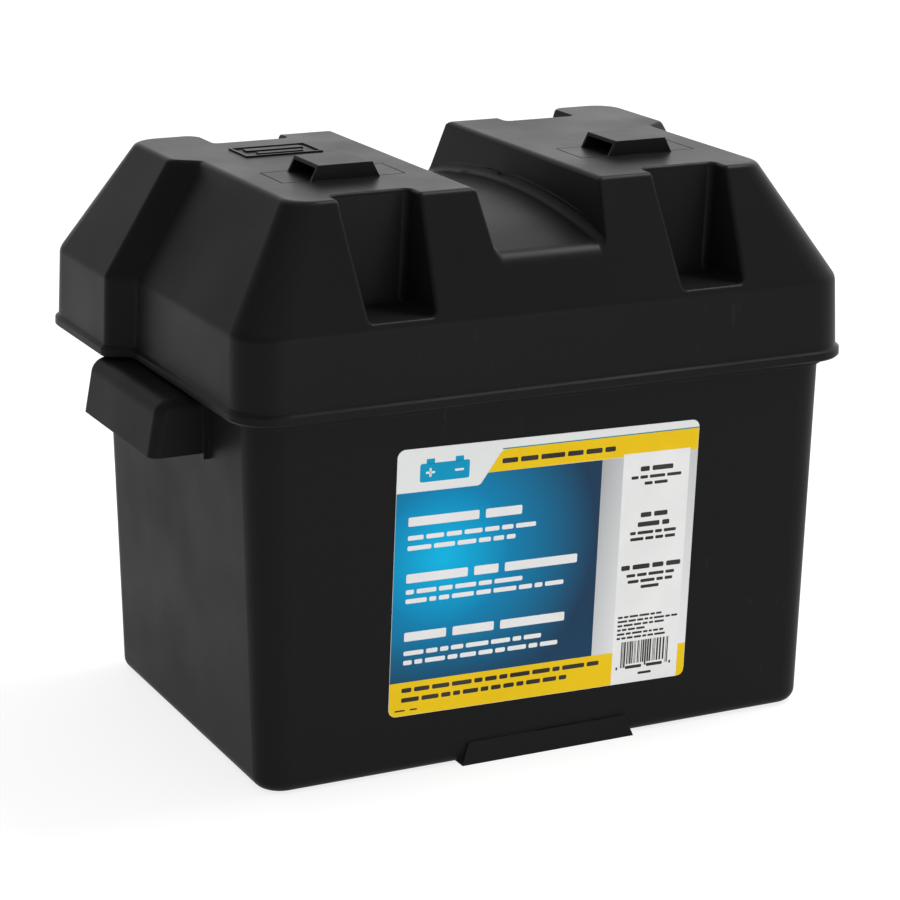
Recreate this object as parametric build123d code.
"""Battery box with a lift-off lid, and the flooded deep cycle battery that stands in it.

Millimetres. +X runs along the box, -Y faces the labelled front, +Z is up.
The origin is the centre of the flat underside of the tub.
"""

import os
from math import asin, atan2, cos, degrees, pi, radians, sin, sqrt, tan

from build123d import *

# Tub
TUB_HALF_X, TUB_HALF_Y = 139.0, 93.95      # outside, at the underside
TUB_CORNER = 13.0
TUB_DRAFT = 1.48                           # degrees, each wall
TUB_WALL, TUB_FLOOR = 2.5, 3.0
TUB_FOOT_ROUND = 6.0
TUB_TOP = 178.0
FLANGE_LOW, FLANGE_HIGH, FLANGE_OUT = 168.0, 170.4, 2.3
RIM_THICK, RIM_OUT = 2.6, 2.9
SILL_HALF_LOW, SILL_HALF_HIGH, SILL_HEIGHT = 44.0, 40.0, 10.0
SILL_OUT, SILL_LEAN, SILL_DEEP = 3.2, 2.0, 20.0

# End grips
GRIP_MID_Y, GRIP_HALF_Y, GRIP_WALL = 1.7, 44.7, 3.0
GRIP_LOW, GRIP_TOP = 144.5, 169.8
GRIP_OUT_LOW, GRIP_OUT_TOP = 169.8, 165.2
GRIP_BACK_ROUND, GRIP_END_ROUND = 8.0, 5.0
GRIP_ROOT, GRIP_ROOT_OUT, GRIP_ROOT_DROP = 4.0, 1.0, 2.5

# Lid
LID_LOW = 171.0                            # underside of the bead
SKIRT_LOW, CREASE, LID_TOP = 176.2, 208.0, 259.6
LID_HALF_X, LID_HALF_Y = 149.8, 104.6      # outside, at the foot of the skirt
LID_CORNER, LID_TOP_CORNER = 19.4, 12.0
SKIRT_DRAFT = 2.0                          # degrees
END_RUN, SIDE_RUN = 32.8, 27.4             # how far the end and the side slopes lean in, foot to top
CREASE_ROUND, TOP_ROUND = 8.0, 3.4
LID_WALL = 2.5
BEAD_OUT, BEAD_FULL_LOW, BEAD_FULL_HIGH = 1.6, 171.8, 174.8
BEAD_ROOT_OUT, BEAD_ROOT_DROP = 0.4, 0.5
BULGE_X, BULGE_Y = 11.5, 14.0              # how far the rear corners stand out
BULGE_END_START, BULGE_END_FULL = 28.0, 36.5
BULGE_BACK_START, BULGE_BACK_FULL = 91.0, 98.0
JOG_INNER_ROUND, JOG_OUTER_ROUND = 3.5, 6.0
BEND_STEPS = 5                             # straight strips in each rounded bend of the hood

# Strap valley across the lid
VALLEY_HALF_TOP, VALLEY_HALF_LOW, VALLEY_LOW = 30.0, 26.5, 228.0
VALLEY_CORNER, LEAST_ROUND = 1.1, 0.6
VALLEY_FOOT_ROUND, FOOT_SINK, FOOT_OVERLAP = 4.5, 0.02, 2.0
ARCH_CROWN, ARCH_RADIUS = 242.4, 400.0
VALLEY_LIP_ROUND = 10.5
BRIDGE_HALF_X = 45.0
HOOD_SPLIT = 196.0                         # height in the skirt where the raised blocks start
LIP_PASSES = 6                             # rounds of closing in on where arch and slope meet

# Pockets in the long slopes, two each side
POCKET_MID_X = 76.5
POCKET_HALF_TOP, POCKET_HALF_LOW = 19.0, 15.5
POCKET_BACK_TOP, POCKET_BACK_LOW = 66.0, 68.5
POCKET_FLOOR, POCKET_OUT_Y = 210.5, 125.0
POCKET_ROUND, POCKET_FOOT_ROUND, POCKET_MOUTH_ROUND = 3.0, 2.2, 1.8
MOUTH_REACH, MOUTH_NEAR = 1.0, 0.15        # how far round a mouth its edges are looked for

# Vent hoods on the two raised blocks
VENT_MID_X, VENT_HALF_LOW, VENT_HALF_TOP = 74.2, 16.5, 12.9
VENT_FRONT, VENT_BACK, VENT_HEIGHT, VENT_WALL = -37.0, -10.0, 7.0, 1.6
PLATE_FRAME = (-29.5, 30.0, -35.0, -9.0)   # low x, high x, front y, back y, from the block's middle
PLATE_GROOVE = 0.6

# Stop ribs inside the skirt, on which the lid rests
RIB_THICK, RIB_HEIGHT, RIB_REACH, LID_SEAT_GAP = 2.0, 10.0, 7.0, 0.1
RIB_X, RIB_Y = (45.0, 110.0), (-62.0, 0.0)

# Label
LABEL_WIDE, LABEL_TALL, LABEL_CORNER, LABEL_THICK = 151.0, 124.0, 3.8, 0.3
LABEL_X, LABEL_Z, LABEL_TURN = -3.1, 88.5, -1.3

# Battery
CASE_LONG, CASE_DEEP, CASE_TALL = 258.0, 170.0, 186.0
CASE_WALL, CASE_FLOOR, CASE_CORNER = 2.6, 3.0, 6.0
CELLS, PARTITION = 6, 2.0
COVER_OVERHANG, COVER_TALL, COVER_WALL, COVER_TOP_ROUND = 1.0, 12.0, 3.0, 2.0
FILLER_Y, FILLER_HOLE_R, FILLER_NECK_R, FILLER_NECK_TALL = 12.0, 10.4, 12.4, 5.0
SPLASH_DROP = 8.0                          # how far each filler tube reaches below the cover's top

# Gang vent caps
CAP_DEEP, CAP_TALL, CAP_WALL, CAP_CORNER, CAP_TOP_ROUND = 46.0, 12.0, 2.2, 6.0, 2.0
CAP_GAP, CAP_MARGIN, CAP_LIFT = 9.0, 6.5, 0.5
PLUG_R, PLUG_WALL, PLUG_LONG = 9.4, 2.0, 14.0
SHOULDER_R, SHOULDER_THICK, SHOULDER_GAP = 12.0, 2.0, 0.05
SEAL_R, SEAL_MAJOR, SEAL_DROP, SEAL_GROOVE = 0.8, 9.5, 4.0, 0.7
DISC_THICK, DISC_DROP = 2.0, 2.0

# Terminals: a cast pad with a tapered post and a threaded stud
TERMINAL_X, POST_Y, STUD_Y, SHANK_Y = 112.0, -60.0, -34.0, -52.0
POST_TALL, POST_TOP_R_POSITIVE, POST_TOP_R_NEGATIVE = 17.0, 8.75, 7.95
POST_TAPER, POST_TOP_ROUND = 1 / 18, 1.0   # taper on the radius
PAD_TALL, PAD_R, SEAT_TALL, SEAT_OUT, SHANK_R, SHANK_GAP = 5.0, 11.0, 2.0, 2.0, 6.0, 0.05
STUD_R_POSITIVE, STUD_R_NEGATIVE, STUD_TALL, STUD_ROOT, STUD_BEVEL = 4.76, 3.97, 20.0, 3.5, 0.8
WASHER_THICK, WASHER_R, WASHER_GAP = 1.5, 9.0, 0.4
NUT_TALL, NUT_R, NUT_TOP_R, NUT_BORE_GAP, NUT_SEAT_GAP = 7.0, 7.0, 6.0, 0.05, 0.1
WING_THICK, WING_TURN, WING_TALL, WING_TIP_ROUND = 3.0, 35.0, 14.5, 1.5
WING_TIP = [(14.0, 7.5), (15.5, 13.5), (11.5, WING_TALL)]
WING_OUTLINE = [(8.0, 1.0)] + WING_TIP + [(6.5, 7.0)]

# Lifting strap and its buttons
STRAP_Y, STRAP_WIDE, STRAP_THICK, STRAP_LOW, STRAP_BEND = 58.0, 20.0, 2.5, 174.0, 4.0
BUTTON_Z, BUTTON_R, BUTTON_HEAD_R, BUTTON_HEAD_THICK, BUTTON_GAP = 183.0, 4.0, 6.5, 2.0, 0.3

# Plates in each cell
POSITIVE_PLATES, PLATE_PITCH, PLATE_THICK, PLATE_DEEP, PLATE_TALL = 5, 3.4, 2.1, 142.0, 132.0
PLATE_FOOT, LUG_WIDE, LUG_TALL, LUG_Y = 9.0, 12.0, 9.0, 52.0
BUSBAR_THICK, BUSBAR_DEEP, BUSBAR_END = 6.0, 16.0, 1.0
SEPARATOR_THICK, SEPARATOR_MARGIN = 0.9, 2.5
LINK_DEEP = 10.0

CUT_PAST = 1.0                             # how far a cut runs past the face it opens

# Heights that follow from the above
BATTERY_LOW = TUB_FLOOR
CASE_TOP = BATTERY_LOW + CASE_TALL
COVER_TOP = CASE_TOP + COVER_TALL
NECK_TOP = COVER_TOP + FILLER_NECK_TALL
PAD_LOW = COVER_TOP + SEAT_TALL
PAD_TOP = PAD_LOW + PAD_TALL
CELL_WIDE = (CASE_LONG - 2 * CASE_WALL - (CELLS - 1) * PARTITION) / CELLS
CELL_PITCH = CELL_WIDE + PARTITION
CELL_X = [(i - (CELLS - 1) / 2) * CELL_PITCH for i in range(CELLS)]
PLATE_LOW = BATTERY_LOW + CASE_FLOOR + PLATE_FOOT
PLATE_HIGH = PLATE_LOW + PLATE_TALL
BUSBAR_LOW = PLATE_HIGH + LUG_TALL
BUSBAR_HIGH = BUSBAR_LOW + BUSBAR_THICK
CAP_LOW = COVER_TOP + CAP_LIFT
CAP_TOP = CAP_LOW + CAP_TALL

os.makedirs("parts", exist_ok=True)


def save(name, shape):
    """Write one node; a group of separate solids stays one compound."""
    shape.label = name
    export_step(shape, f"parts/{name}.step")


def block(low, high):
    """Box between two corners."""
    size = [h - l for l, h in zip(low, high)]
    return Pos(*low) * Box(*size, align=(Align.MIN, Align.MIN, Align.MIN))


def rod(radius, low, high, x=0.0, y=0.0, top_radius=None):
    """Upright cylinder, or a cone when the top radius differs."""
    align = (Align.CENTER, Align.CENTER, Align.MIN)
    if top_radius is None:
        return Pos(x, y, low) * Cylinder(radius, high - low, align=align)
    return Pos(x, y, low) * Cone(radius, top_radius, high - low, align=align)


def along_y(points, low, high):
    """Solid whose outline in X and Z is extruded from low y to high y."""
    face = Plane.XZ * make_face(Polyline(*points, close=True))
    return Pos(0, high, 0) * extrude(face, amount=high - low)


def mirrored(shape):
    """Mirror image about the middle of the box's length."""
    return mirror(shape, about=Plane.YZ)


# ---- tub -------------------------------------------------------------------------------------


def tub_slab(low, high, grow=0.0):
    """Drafted solid with the tub's outline, grown outwards all round."""
    sections = []
    for z in (low, high):
        out = z * tan(radians(TUB_DRAFT)) + grow
        outline = RectangleRounded(2 * (TUB_HALF_X + out), 2 * (TUB_HALF_Y + out), TUB_CORNER + out)
        sections.append(Pos(0, 0, z) * outline)
    return loft(sections, ruled=True)


def grip_wall_x():
    """Middle of the end wall's thickness where the end grip starts."""
    return TUB_HALF_X + GRIP_LOW * tan(radians(TUB_DRAFT)) - TUB_WALL / 2


def grip_body(inset, low):
    """Outside of the right-hand end grip, or with an inset the finger space inside it."""
    wall_x = grip_wall_x()
    lean = (GRIP_OUT_TOP - GRIP_OUT_LOW) / (GRIP_TOP - GRIP_LOW)
    foot_x = GRIP_OUT_LOW - inset + lean * (low - GRIP_LOW)
    back = (GRIP_OUT_TOP - inset, GRIP_TOP - inset)
    profile = Polygon((wall_x, low), (foot_x, low), back, (wall_x, GRIP_TOP - inset), align=None)
    profile = fillet(profile.vertices().sort_by_distance(back)[0], GRIP_BACK_ROUND - inset)
    half = GRIP_HALF_Y - inset
    body = Pos(0, GRIP_MID_Y, 0) * extrude(Plane.XZ * profile, amount=half, both=True)
    rims = []
    for end in (body.faces().sort_by(Axis.Y)[0], body.faces().sort_by(Axis.Y)[-1]):
        free = [e for e in end.edges() if e.center().X > wall_x + CUT_PAST]
        rims += [e for e in free if e.center().Z > low + CUT_PAST]
    return fillet(rims, GRIP_END_ROUND - inset)


def make_tub():
    """Open tub with its rim, its flange, two end grips and a strap sill front and rear."""
    wall = tub_slab(0, TUB_TOP)
    foot = wall.faces().sort_by(Axis.Z)[0].edges()
    wall = fillet(foot, TUB_FOOT_ROUND)
    flange = tub_slab(FLANGE_LOW, FLANGE_HIGH, FLANGE_OUT)
    rim = tub_slab(TUB_TOP - RIM_THICK, TUB_TOP, RIM_OUT)
    inside = tub_slab(TUB_FLOOR, TUB_TOP + CUT_PAST, -TUB_WALL)
    inside = fillet(inside.faces().sort_by(Axis.Z)[0].edges(), TUB_FOOT_ROUND - TUB_WALL)

    mid = -TUB_HALF_Y - SILL_OUT + SILL_DEEP / 2
    sill_foot = Pos(0, mid, 0) * Rectangle(2 * SILL_HALF_LOW, SILL_DEEP)
    sill_top = Pos(0, mid + SILL_LEAN, SILL_HEIGHT) * Rectangle(2 * SILL_HALF_HIGH, SILL_DEEP)
    sill = loft([sill_foot, sill_top], ruled=True)
    open_low = GRIP_LOW - GRIP_ROOT_DROP - CUT_PAST
    grip = grip_body(0, GRIP_LOW) - grip_body(GRIP_WALL, open_low)
    wall_x, half = grip_wall_x(), GRIP_HALF_Y + GRIP_ROOT_OUT
    root_high = (wall_x + GRIP_ROOT, half, GRIP_TOP)
    root = block((wall_x, -half, GRIP_LOW - GRIP_ROOT_DROP), root_high) - block(
        (wall_x - CUT_PAST, -GRIP_HALF_Y + GRIP_WALL, open_low),
        (wall_x + GRIP_ROOT + CUT_PAST, GRIP_HALF_Y - GRIP_WALL, GRIP_TOP - GRIP_WALL),
    )
    grip = grip + Pos(0, GRIP_MID_Y, 0) * root
    shell = wall + flange + rim + sill + mirror(sill, about=Plane.XZ) + grip + mirrored(grip)
    return shell - inside


# ---- lid -------------------------------------------------------------------------------------


def slope_angle(run):
    """Lean of a hood slope from the upright, for a given total run."""
    return atan2(run - (CREASE - SKIRT_LOW) * tan(radians(SKIRT_DRAFT)), LID_TOP - CREASE)


def bends(run):
    """Centres of the crease's and the top edge's rounding, as (inward, height)."""
    draft, slope = radians(SKIRT_DRAFT), slope_angle(run)
    reach = CREASE_ROUND * tan((slope - draft) / 2)
    skirt_run = (CREASE - SKIRT_LOW) * tan(draft)
    crease = (
        skirt_run - reach * sin(draft) + CREASE_ROUND * cos(draft),
        CREASE - reach * cos(draft) - CREASE_ROUND * sin(draft),
    )
    top = (run + TOP_ROUND * tan((pi / 2 - slope) / 2), LID_TOP - TOP_ROUND)
    return crease, top


def lean(z, run, inset=0.0):
    """How far the hood wall stands inside its foot at height z; inset gives the inner face."""
    draft, slope = radians(SKIRT_DRAFT), slope_angle(run)
    (crease_in, crease_z), (top_in, top_z) = bends(run)
    crease_r, top_r = CREASE_ROUND - inset, TOP_ROUND - inset
    if z <= crease_z + crease_r * sin(draft):
        return (z - SKIRT_LOW) * tan(draft) + inset / cos(draft)
    if z <= crease_z + crease_r * sin(slope):
        return crease_in - sqrt(crease_r**2 - (z - crease_z) ** 2)
    if z <= top_z + top_r * sin(slope):
        skirt_run = (CREASE - SKIRT_LOW) * tan(draft)
        return skirt_run + (z - CREASE) * tan(slope) + inset / cos(slope)
    return top_in - sqrt(max(top_r**2 - (z - top_z) ** 2, 0.0))


def hood_levels(inset=0.0):
    """Heights from the crease upwards at which the hood's outline is drawn."""
    draft, slope = radians(SKIRT_DRAFT), slope_angle(END_RUN)
    (_, crease_z), (_, top_z) = bends(END_RUN)
    crease_r, top_r = CREASE_ROUND - inset, TOP_ROUND - inset
    steps = [i / BEND_STEPS for i in range(BEND_STEPS + 1)]
    crease = [crease_z + crease_r * sin(draft + (slope - draft) * s) for s in steps]
    top = [top_z + top_r * sin(slope + (pi / 2 - slope) * s) for s in steps]
    return crease + top


def corner_radius(z, inset):
    """Plan radius of the hood's corners, which tighten towards the top."""
    share = max(0.0, (z - CREASE) / (LID_TOP - CREASE))
    return LID_CORNER - (LID_CORNER - LID_TOP_CORNER) * share - inset


def rounded(points_and_radii):
    """Flat face through the points, each corner rounded by its own radius."""
    face = make_face(Polyline(*[p for p, _ in points_and_radii], close=True))
    for radius in sorted({r for _, r in points_and_radii if r > 0}):
        corners = [p for p, r in points_and_radii if r == radius]
        picked = [face.vertices().sort_by_distance(p)[0] for p in corners]
        face = fillet(picked, radius)
    return face


def half_outline(z, inset):
    """Right-hand half of the lid's outline, front to back, as (point, radius)."""
    half_x = LID_HALF_X - lean(z, END_RUN, inset)
    half_y = LID_HALF_Y - lean(z, SIDE_RUN, inset)
    end_slant = (BULGE_END_FULL - BULGE_END_START) / BULGE_X
    back_slant = (BULGE_BACK_FULL - BULGE_BACK_START) / BULGE_Y
    end_shift = inset * (sqrt(1 + end_slant**2) - end_slant)
    back_shift = inset * (sqrt(1 + back_slant**2) - back_slant)
    corner = corner_radius(z, inset)
    return [
        ((half_x, -half_y), corner),
        ((half_x, BULGE_END_START + end_shift), JOG_INNER_ROUND + inset),
        ((half_x + BULGE_X, BULGE_END_FULL + end_shift), JOG_OUTER_ROUND - inset),
        ((half_x + BULGE_X, half_y + BULGE_Y), corner),
        ((BULGE_BACK_FULL + back_shift, half_y + BULGE_Y), JOG_OUTER_ROUND - inset),
        ((BULGE_BACK_START + back_shift, half_y), JOG_INNER_ROUND + inset),
    ]


def lid_outline(z, inset=0.0):
    """Whole outline of the lid at height z: a rectangle with its rear corners pushed out."""
    right = half_outline(z, inset)
    left = [((-x, y), r) for (x, y), r in reversed(right)]
    return Pos(0, 0, z) * rounded(right + left)


def valley_half(z, inset):
    """Half-width of the strap valley at height z, with its rounded upper edge."""
    draft = (VALLEY_HALF_TOP - VALLEY_HALF_LOW) / (LID_TOP - VALLEY_LOW)
    flare = sqrt(1 + draft**2)
    wall = VALLEY_HALF_TOP - (LID_TOP - z) * draft + inset * flare
    top_z, radius = LID_TOP - TOP_ROUND, TOP_ROUND - inset
    if z <= top_z:
        return wall
    lip = VALLEY_HALF_TOP - TOP_ROUND * draft + TOP_ROUND * flare
    return lip - sqrt(max(radius**2 - (z - top_z) ** 2, 0.0))


def block_outline(z, inset=0.0):
    """Outline of the right-hand raised block, between the valley and the end."""
    half_y = LID_HALF_Y - lean(z, SIDE_RUN, inset)
    side = valley_half(z, inset)
    corner = max(VALLEY_CORNER - inset, LEAST_ROUND)
    right = half_outline(z, inset)
    return Pos(0, 0, z) * rounded(right + [((side, half_y), corner), ((side, -half_y), corner)])


def bridge(inset):
    """Middle of the hood under the strap valley, with its arched floor and rounded lips."""
    levels = [HOOD_SPLIT] + hood_levels(inset)[: BEND_STEPS + 1]
    side = [(LID_HALF_Y - lean(z, SIDE_RUN, inset), z) for z in levels]
    foot_y, foot_z = side[-1]
    centre_z = ARCH_CROWN - ARCH_RADIUS
    floor_r = ARCH_RADIUS - inset
    lip_y = foot_y
    for _ in range(LIP_PASSES):
        lip_z = centre_z + sqrt(floor_r**2 - lip_y**2)
        lip_y = foot_y - (lip_z - foot_z) * tan(slope_angle(SIDE_RUN))
    far_side = [(-y, z) for y, z in reversed(side)]
    floor = ThreePointArc((lip_y, lip_z), (0, centre_z + floor_r), (-lip_y, lip_z))
    outline = Polyline(*side, (lip_y, lip_z)) + floor
    outline += Polyline((-lip_y, lip_z), *far_side, side[0])
    face = make_face(outline)
    lips = [face.vertices().sort_by_distance((y, lip_z))[0] for y in (-lip_y, lip_y)]
    face = fillet(lips, VALLEY_LIP_ROUND - inset)
    return extrude(Plane.YZ * face, amount=BRIDGE_HALF_X, both=True)


def foot_profile(wall, floor):
    """Section of a concave fillet between the valley's wall and a round floor of that radius."""
    radius, low = VALLEY_FOOT_ROUND, floor - FOOT_SINK
    start, end = (wall - radius, low), (wall, low + radius)
    middle = (wall - radius * (1 - cos(pi / 4)), low + radius * (1 - sin(pi / 4)))
    outside = [(wall + FOOT_OVERLAP, end[1]), (wall + FOOT_OVERLAP, low - FOOT_OVERLAP)]
    outline = ThreePointArc(start, middle, end)
    outline += Polyline(end, *outside, (start[0], low - FOOT_OVERLAP), start)
    return Plane.XZ * make_face(outline)


def valley_fillet():
    """Fillet along the foot of the valley's right-hand wall, over the arch and both its lips."""
    slope, centre_z = slope_angle(SIDE_RUN), ARCH_CROWN - ARCH_RADIUS
    wall = valley_half(ARCH_CROWN, 0.0)
    lip_r = ARCH_RADIUS - VALLEY_LIP_ROUND
    foot_y = (CREASE - SKIRT_LOW) * tan(radians(SKIRT_DRAFT)) - LID_HALF_Y
    reach = foot_y * cos(slope) - CREASE * sin(slope) + VALLEY_LIP_ROUND
    turn = asin((-centre_z * sin(slope) - reach) / lip_r) - slope
    over_arch = Rot(X=-degrees(turn)) * foot_profile(wall, ARCH_RADIUS)
    over_arch = revolve(over_arch, Axis.X, revolution_arc=2 * degrees(turn))
    over_lip = Rot(X=degrees(turn)) * foot_profile(wall, VALLEY_LIP_ROUND)
    over_lip = revolve(over_lip, Axis.X, revolution_arc=90 - degrees(slope + turn))
    over_lip = Pos(0, -lip_r * sin(turn), lip_r * cos(turn)) * over_lip
    strip = Pos(0, 0, centre_z) * (over_arch + over_lip + mirror(over_lip, about=Plane.XZ))
    return strip & loft([lid_outline(z) for z in [HOOD_SPLIT] + hood_levels()], ruled=True)


def raised_block(inset=0.0):
    """Right-hand raised block from the skirt to the top."""
    levels = [HOOD_SPLIT] + hood_levels(inset)
    return loft([block_outline(z, inset) for z in levels], ruled=True)


def hood(inset, skirt_levels):
    """Outside of the lid, or with an inset the space inside it; levels are (z, inset)."""
    skirt = loft([lid_outline(z, extra) for z, extra in skirt_levels], ruled=True)
    right = raised_block(inset)
    return skirt + bridge(inset) + right + mirrored(right)


def pocket(grow=0.0):
    """Space of the right-hand front pocket, or with growth the wall around it."""
    sections = []
    rate = (POCKET_HALF_TOP - POCKET_HALF_LOW) / (LID_TOP - POCKET_FLOOR)
    back_rate = (POCKET_BACK_LOW - POCKET_BACK_TOP) / (LID_TOP - POCKET_FLOOR)
    for z in (POCKET_FLOOR - grow, LID_TOP + CUT_PAST + grow):
        half = POCKET_HALF_LOW + (z - POCKET_FLOOR) * rate + grow
        back = POCKET_BACK_LOW - (z - POCKET_FLOOR) * back_rate - grow
        face = RectangleRounded(2 * half, POCKET_OUT_Y - back, POCKET_ROUND + grow)
        sections.append(Pos(POCKET_MID_X, -(back + POCKET_OUT_Y) / 2, z) * face)
    space = loft(sections, ruled=True)
    return fillet(space.faces().sort_by(Axis.Z)[0].edges(), POCKET_FOOT_ROUND + grow)


def mouth_edges(shell, side):
    """Edges round the mouth of the front pocket on one side."""
    picked = []
    for edge in shell.edges():
        at = edge.position_at(0.5)
        beside = abs(at.X - side * POCKET_MID_X) > POCKET_HALF_TOP + MOUTH_REACH
        if beside or edge.length > LID_TOP - SKIRT_LOW:
            continue
        if at.Z < POCKET_FLOOR - MOUTH_NEAR or at.Y > MOUTH_REACH - POCKET_BACK_TOP:
            continue
        slope_y = lean(min(at.Z, LID_TOP), SIDE_RUN) - LID_HALF_Y
        if abs(at.Y - slope_y) < MOUTH_NEAR or abs(at.Z - LID_TOP) < MOUTH_NEAR / 2:
            picked.append(edge)
    return picked


def four_pockets(grow=0.0):
    """All four pockets: front and rear, right and left."""
    one = pocket(grow)
    pair = one + mirror(one, about=Plane.XZ)
    return pair + mirrored(pair)


def vent(mid_x):
    """Vent hood over the block's top, open towards -X, and the space inside it."""
    low, high = LID_TOP - LID_WALL / 2, LID_TOP + VENT_HEIGHT
    rate = (VENT_HALF_LOW - VENT_HALF_TOP) / VENT_HEIGHT
    foot = VENT_HALF_LOW + rate * (LID_TOP - low)
    outside = [(mid_x - foot, low), (mid_x + foot, low)]
    outside += [(mid_x + VENT_HALF_TOP, high), (mid_x - VENT_HALF_TOP, high)]
    shell = along_y(outside, VENT_FRONT, VENT_BACK)
    top = high - VENT_WALL
    right = mid_x + VENT_HALF_LOW - VENT_WALL - rate * (top - LID_TOP)
    left = mid_x - foot - CUT_PAST
    inside = [(left, LID_TOP), (mid_x + VENT_HALF_LOW - VENT_WALL, LID_TOP)]
    inside += [(right, top), (left, top)]
    space = along_y(inside, VENT_FRONT + VENT_WALL, VENT_BACK - VENT_WALL)
    mouth = block(
        (mid_x - VENT_HALF_LOW / 2, VENT_FRONT + VENT_WALL, LID_TOP - 2 * LID_WALL),
        (mid_x + VENT_HALF_LOW - VENT_WALL, VENT_BACK - VENT_WALL, LID_TOP + CUT_PAST),
    )
    return shell, space + mouth


def plate_groove(mid_x):
    """Fine rectangular groove around the vent hood."""
    x0, x1, y0, y1 = PLATE_FRAME
    low, high = LID_TOP - PLATE_GROOVE / 2, LID_TOP + CUT_PAST
    outer = block((mid_x + x0, y0, low), (mid_x + x1, y1, high))
    inner = block(
        (mid_x + x0 + PLATE_GROOVE, y0 + PLATE_GROOVE, low - CUT_PAST),
        (mid_x + x1 - PLATE_GROOVE, y1 - PLATE_GROOVE, high + CUT_PAST),
    )
    return outer - inner


def stop_ribs():
    """Small upright ribs inside the skirt; their feet stand on the tub's rim."""
    low = TUB_TOP + LID_SEAT_GAP
    high = low + RIB_HEIGHT
    ribs = []
    half = RIB_THICK / 2
    for x in [s * x for x in RIB_X for s in (-1, 1)]:
        edge = LID_HALF_Y - LID_WALL / 2 - lean(low, SIDE_RUN)
        ribs.append(block((x - half, -edge, low), (x + half, RIB_REACH - edge, high)))
        if abs(x) < BULGE_BACK_START:
            ribs.append(block((x - half, edge - RIB_REACH, low), (x + half, edge, high)))
    edge = LID_HALF_X - LID_WALL / 2 - lean(low, END_RUN)
    for y in RIB_Y:
        ribs.append(block((edge - RIB_REACH, y - half, low), (edge, y + half, high)))
        ribs.append(block((-edge, y - half, low), (RIB_REACH - edge, y + half, high)))
    return ribs


def make_lid():
    """One moulded shell: skirt with bead, hood with valley, pockets, bulges and vents."""
    outer_levels = [
        (LID_LOW, -BEAD_OUT / 2),
        (BEAD_FULL_LOW, -BEAD_OUT),
        (BEAD_FULL_HIGH, -BEAD_OUT),
        (SKIRT_LOW - BEAD_ROOT_DROP, -BEAD_ROOT_OUT),
        (SKIRT_LOW, 0.0),
        (HOOD_SPLIT, 0.0),
    ]
    inner_levels = [(LID_LOW - CUT_PAST, LID_WALL), (HOOD_SPLIT, LID_WALL)]
    foot = valley_fillet()
    shell = hood(0.0, outer_levels) + foot + mirrored(foot) - four_pockets()
    for side in (-1, 1):
        shell = fillet(mouth_edges(shell, side), POCKET_MOUTH_ROUND)
    space = hood(LID_WALL, inner_levels) - four_pockets(LID_WALL)
    lid = shell - space
    for mid_x in (-VENT_MID_X, VENT_MID_X):
        solid, opening = vent(mid_x)
        lid = lid - plate_groove(mid_x) + solid - opening
    for rib in stop_ribs():
        lid = lid + rib
    return lid


# ---- label -----------------------------------------------------------------------------------


def make_label():
    """Printed film on the drafted front wall, stuck on slightly askew."""
    wall_y = -(TUB_HALF_Y + LABEL_Z * tan(radians(TUB_DRAFT)))
    face = Plane(origin=(LABEL_X, wall_y, LABEL_Z), x_dir=(1, 0, 0), z_dir=(0, -1, 0))
    place = face.location * Rot(X=TUB_DRAFT) * Rot(Z=LABEL_TURN)
    return place * extrude(RectangleRounded(LABEL_WIDE, LABEL_TALL, LABEL_CORNER), LABEL_THICK)


# ---- battery ---------------------------------------------------------------------------------


def pin_x(radius, start, end, y, z):
    """Cylinder along X."""
    return Pos((start + end) / 2, y, z) * Rot(Y=90) * Cylinder(radius, abs(end - start))


def rounded_slab(long, deep, corner, low, high, x=0.0, y=0.0):
    """Upright solid with a rounded rectangular plan."""
    return Pos(x, y, low) * extrude(RectangleRounded(long, deep, corner), high - low)


def busbar_half(plates):
    """Half-length of the cast strap over a group of plates."""
    return (plates - 1) * PLATE_PITCH + PLATE_THICK / 2 + BUSBAR_END


def positive_y(cell):
    """Side on which a cell's positive lugs stand; it changes from cell to cell."""
    return -LUG_Y if cell % 2 == 0 else LUG_Y


def make_case():
    """Container with its cell partitions, the windows for the cell links and the strap buttons."""
    case = rounded_slab(CASE_LONG, CASE_DEEP, CASE_CORNER, BATTERY_LOW, CASE_TOP)
    floor = BATTERY_LOW + CASE_FLOOR
    half, half_deep = CELL_WIDE / 2, CASE_DEEP / 2 - CASE_WALL
    for x in CELL_X:
        case -= block((x - half, -half_deep, floor), (x + half, half_deep, CASE_TOP + CUT_PAST))
    for cell in range(CELLS - 1):
        x, y = (CELL_X[cell] + CELL_X[cell + 1]) / 2, -positive_y(cell)
        low = (x - PARTITION, y - LINK_DEEP / 2, BUSBAR_LOW)
        case -= block(low, (x + PARTITION, y + LINK_DEEP / 2, BUSBAR_HIGH))
    stem = COVER_OVERHANG + STRAP_THICK + BUTTON_GAP
    for side in (-1, 1):
        face, neck = side * CASE_LONG / 2, side * (CASE_LONG / 2 + stem)
        case += pin_x(BUTTON_R, face - side * CASE_WALL / 2, neck, STRAP_Y, BUTTON_Z)
        case += pin_x(BUTTON_HEAD_R, neck, neck + side * BUTTON_HEAD_THICK, STRAP_Y, BUTTON_Z)
    return case


def terminal_plan(side, grow=0.0):
    """Plan of a terminal's pad: two circles joined, under the post and the stud."""
    slot = SlotCenterToCenter(STUD_Y - POST_Y, 2 * (PAD_R + grow))
    return Pos(side * TERMINAL_X, (POST_Y + STUD_Y) / 2, 0) * Rot(Z=90) * slot


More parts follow.
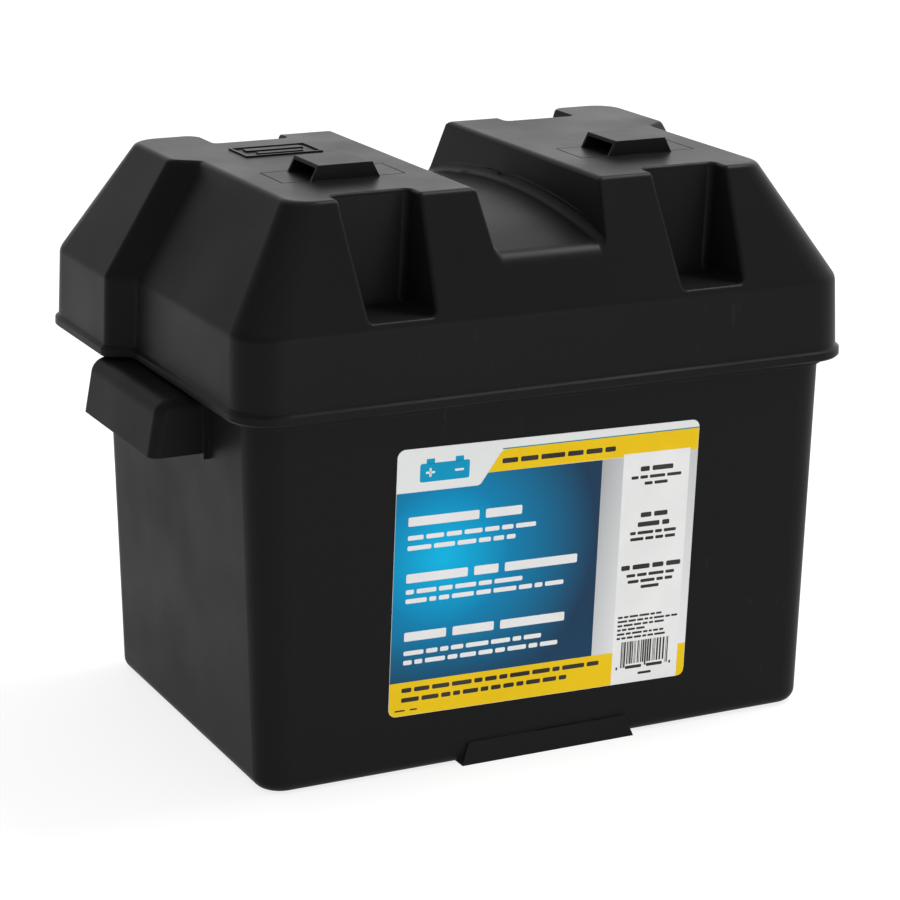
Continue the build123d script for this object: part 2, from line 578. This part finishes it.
def make_cover():
    """Cover with its sealing ribs, filler necks, splash tubes and terminal seats."""
    corner = CASE_CORNER + COVER_OVERHANG
    long, deep = CASE_LONG + 2 * COVER_OVERHANG, CASE_DEEP + 2 * COVER_OVERHANG
    cover = rounded_slab(long, deep, corner, CASE_TOP, COVER_TOP)
    cover = fillet(cover.faces().sort_by(Axis.Z)[-1].edges(), COVER_TOP_ROUND)
    ceiling = COVER_TOP - COVER_WALL
    half, half_deep = CELL_WIDE / 2, CASE_DEEP / 2 - CASE_WALL
    open_low = CASE_TOP - CUT_PAST
    for x in CELL_X:
        cover -= block((x - half, -half_deep, open_low), (x + half, half_deep, ceiling))
    for x in CELL_X:
        cover += rod(FILLER_NECK_R, ceiling - SPLASH_DROP, NECK_TOP, x, FILLER_Y)
    for x in CELL_X:
        cover -= rod(FILLER_HOLE_R, open_low, NECK_TOP + CUT_PAST, x, FILLER_Y)
    for side in (-1, 1):
        cover += Pos(0, 0, ceiling) * extrude(terminal_plan(side, SEAT_OUT), PAD_LOW - ceiling)
        x, high = side * TERMINAL_X, PAD_LOW + CUT_PAST
        cover -= rod(SHANK_R + SHANK_GAP, open_low, high, x, SHANK_Y)
    return cover


def cap_cells(side):
    """Middles of the three cells under the left (-1) or right (1) gang cap."""
    return [x for x in CELL_X if x * side > 0]


def make_vent_cap(side):
    """Gang cap: a shallow hollow cover with three plugs that carry the seals and discs."""
    inner, outer = CAP_GAP / 2, CASE_LONG / 2 - CAP_MARGIN
    long, mid = outer - inner, side * (inner + outer) / 2
    cap = rounded_slab(long, CAP_DEEP, CAP_CORNER, CAP_LOW, CAP_TOP, mid, FILLER_Y)
    cap = fillet(cap.faces().sort_by(Axis.Z)[-1].edges(), CAP_TOP_ROUND)
    hollow = (long - 2 * CAP_WALL, CAP_DEEP - 2 * CAP_WALL, CAP_CORNER - CAP_WALL)
    ceiling = CAP_TOP - CAP_WALL
    cap -= rounded_slab(*hollow, CAP_LOW - CUT_PAST, ceiling, mid, FILLER_Y)
    groove_z, plug_low = NECK_TOP - SEAL_DROP, NECK_TOP - PLUG_LONG
    shoulder = NECK_TOP + SHOULDER_GAP
    for x in cap_cells(side):
        cap += rod(PLUG_R, plug_low, ceiling + CAP_WALL / 2, x, FILLER_Y)
        cap += rod(SHOULDER_R, shoulder, shoulder + SHOULDER_THICK, x, FILLER_Y)
    for x in cap_cells(side):
        cap -= rod(PLUG_R - PLUG_WALL, plug_low - CUT_PAST, ceiling, x, FILLER_Y)
        ring = rod(PLUG_R + CUT_PAST, groove_z - SEAL_R, groove_z + SEAL_R, x, FILLER_Y)
        cap -= ring - rod(PLUG_R - SEAL_GROOVE, plug_low, ceiling, x, FILLER_Y)
    return cap


def make_cap_seals(side):
    """Sealing rings in the grooves of one cap's plugs."""
    ring = Torus(SEAL_MAJOR, SEAL_R)
    z = NECK_TOP - SEAL_DROP
    return Compound([Pos(x, FILLER_Y, z) * ring for x in cap_cells(side)])


def make_arrestor_discs(side):
    """Porous discs at the top of one cap's plugs."""
    high = CAP_TOP - CAP_WALL - DISC_DROP
    radius = PLUG_R - PLUG_WALL
    return Compound([rod(radius, high - DISC_THICK, high, x, FILLER_Y) for x in cap_cells(side)])


def make_stud(side, radius):
    """Threaded stud, its root cast into the pad and its end bevelled."""
    stud = rod(radius, PAD_TOP - STUD_ROOT, PAD_TOP + STUD_TALL, side * TERMINAL_X, STUD_Y)
    return chamfer(stud.faces().sort_by(Axis.Z)[-1].edges(), STUD_BEVEL)


def make_terminal(side, post_r, stud_r):
    """Cast pad with its post on top and its shank down to the end cell's busbar."""
    x = side * TERMINAL_X
    pad = Pos(0, 0, PAD_LOW) * extrude(terminal_plan(side), PAD_TALL)
    foot_r = post_r + POST_TALL * POST_TAPER
    post = rod(foot_r, PAD_TOP, PAD_TOP + POST_TALL, x, POST_Y, post_r)
    post = fillet(post.faces().sort_by(Axis.Z)[-1].edges(), POST_TOP_ROUND)
    shank = rod(SHANK_R, BUSBAR_HIGH, PAD_LOW, x, SHANK_Y)
    return pad + post + shank - make_stud(side, stud_r)


def make_washer(side, stud_r):
    """Flat washer under a wing nut."""
    low, high = PAD_TOP, PAD_TOP + WASHER_THICK
    x = side * TERMINAL_X
    hole = rod(stud_r + WASHER_GAP, low - CUT_PAST, high + CUT_PAST, x, STUD_Y)
    return rod(WASHER_R, low, high, x, STUD_Y) - hole


def make_wing_nut(side, stud_r):
    """Wing nut standing just clear of its washer."""
    hub = rod(NUT_R, 0, NUT_TALL, top_radius=NUT_TOP_R)
    outline = WING_OUTLINE + [(-x, z) for x, z in reversed(WING_OUTLINE)]
    plate = Polygon(*outline, align=None)
    places = [(s * x, z) for x, z in WING_TIP for s in (-1, 1)]
    tips = [plate.vertices().sort_by_distance(place)[0] for place in places]
    wings = Plane.XZ * fillet(tips, WING_TIP_ROUND)
    wings = extrude(wings, amount=WING_THICK / 2, both=True)
    nut = hub + wings - rod(stud_r + NUT_BORE_GAP, -CUT_PAST, WING_TALL + CUT_PAST)
    low = PAD_TOP + WASHER_THICK + NUT_SEAT_GAP
    return Pos(side * TERMINAL_X, STUD_Y, low) * Rot(Z=WING_TURN) * nut


def make_plate_group(cell, positive):
    """Plates of one polarity in one cell, hung from their cast busbar by their lugs."""
    count = POSITIVE_PLATES if positive else POSITIVE_PLATES + 1
    y = positive_y(cell) if positive else -positive_y(cell)
    mid, half = CELL_X[cell], busbar_half(count)
    group = block(
        (mid - half, y - BUSBAR_DEEP / 2, BUSBAR_LOW), (mid + half, y + BUSBAR_DEEP / 2, BUSBAR_HIGH)
    )
    for plate in range(count):
        low = mid + (2 * plate - count + 1) * PLATE_PITCH - PLATE_THICK / 2
        high = low + PLATE_THICK
        group += block((low, -PLATE_DEEP / 2, PLATE_LOW), (high, PLATE_DEEP / 2, PLATE_HIGH))
        group += block((low, y - LUG_WIDE / 2, PLATE_HIGH), (high, y + LUG_WIDE / 2, BUSBAR_LOW))
    return group


def make_separators(cell):
    """Porous sheets between the plates of one cell."""
    half = PLATE_DEEP / 2 + SEPARATOR_MARGIN
    sheets = []
    for gap in range(2 * POSITIVE_PLATES):
        mid = CELL_X[cell] + (gap - POSITIVE_PLATES + 0.5) * PLATE_PITCH
        low, high = mid - SEPARATOR_THICK / 2, mid + SEPARATOR_THICK / 2
        low_z, high_z = PLATE_LOW - SEPARATOR_MARGIN, PLATE_HIGH + SEPARATOR_MARGIN
        sheets.append(block((low, -half, low_z), (high, half, high_z)))
    return Compound(sheets)


def make_cell_links():
    """Welds that join each cell's negative busbar to the next cell's positive one."""
    links = []
    for cell in range(CELLS - 1):
        low = CELL_X[cell] + busbar_half(POSITIVE_PLATES + 1)
        high = CELL_X[cell + 1] - busbar_half(POSITIVE_PLATES)
        y = -positive_y(cell)
        corner = (high, y + LINK_DEEP / 2, BUSBAR_HIGH)
        links.append(block((low, y - LINK_DEEP / 2, BUSBAR_LOW), corner))
    return Compound(links)


def make_carry_strap():
    """Flexible lifting strap over the cover, buttoned to both ends of the case."""
    inner = CASE_LONG / 2 + COVER_OVERHANG
    outer, top = inner + STRAP_THICK, COVER_TOP + STRAP_THICK
    low = STRAP_LOW - CUT_PAST
    band = Polygon((-outer, STRAP_LOW), (-outer, top), (outer, top), (outer, STRAP_LOW), align=None)
    under = Polygon((-inner, low), (-inner, COVER_TOP), (inner, COVER_TOP), (inner, low), align=None)
    corners = [band.vertices().sort_by_distance((x, top))[0] for x in (-outer, outer)]
    band = fillet(corners, STRAP_BEND) - under
    strap = Pos(0, STRAP_Y, 0) * extrude(Plane.XZ * band, amount=STRAP_WIDE / 2, both=True)
    for side in (-1, 1):
        start, end = side * (inner - CUT_PAST), side * (outer + CUT_PAST)
        strap -= pin_x(BUTTON_R + BUTTON_GAP, start, end, STRAP_Y, BUTTON_Z)
    return strap


# ---- nodes -----------------------------------------------------------------------------------

save("tub", make_tub())
save("lid", make_lid())
save("label", make_label())
save("battery_case", make_case())
save("battery_cover", make_cover())
save("carry_strap", make_carry_strap())
save("cell_links", make_cell_links())

for word, side in (("left", -1), ("right", 1)):
    save(f"vent_cap_{word}", make_vent_cap(side))
    save(f"cap_seals_{word}", make_cap_seals(side))
    save(f"arrestor_discs_{word}", make_arrestor_discs(side))

TERMINALS = (
    ("positive", -1, POST_TOP_R_POSITIVE, STUD_R_POSITIVE),
    ("negative", 1, POST_TOP_R_NEGATIVE, STUD_R_NEGATIVE),
)
for word, side, post_r, stud_r in TERMINALS:
    save(f"{word}_terminal", make_terminal(side, post_r, stud_r))
    save(f"{word}_stud", make_stud(side, stud_r))
    save(f"{word}_wing_nut", make_wing_nut(side, stud_r))
save("stud_washers", Compound([make_washer(side, stud_r) for _, side, _, stud_r in TERMINALS]))

for cell in range(CELLS):
    save(f"positive_plates_{cell + 1}", make_plate_group(cell, True))
    save(f"negative_plates_{cell + 1}", make_plate_group(cell, False))
    save(f"separators_{cell + 1}", make_separators(cell))
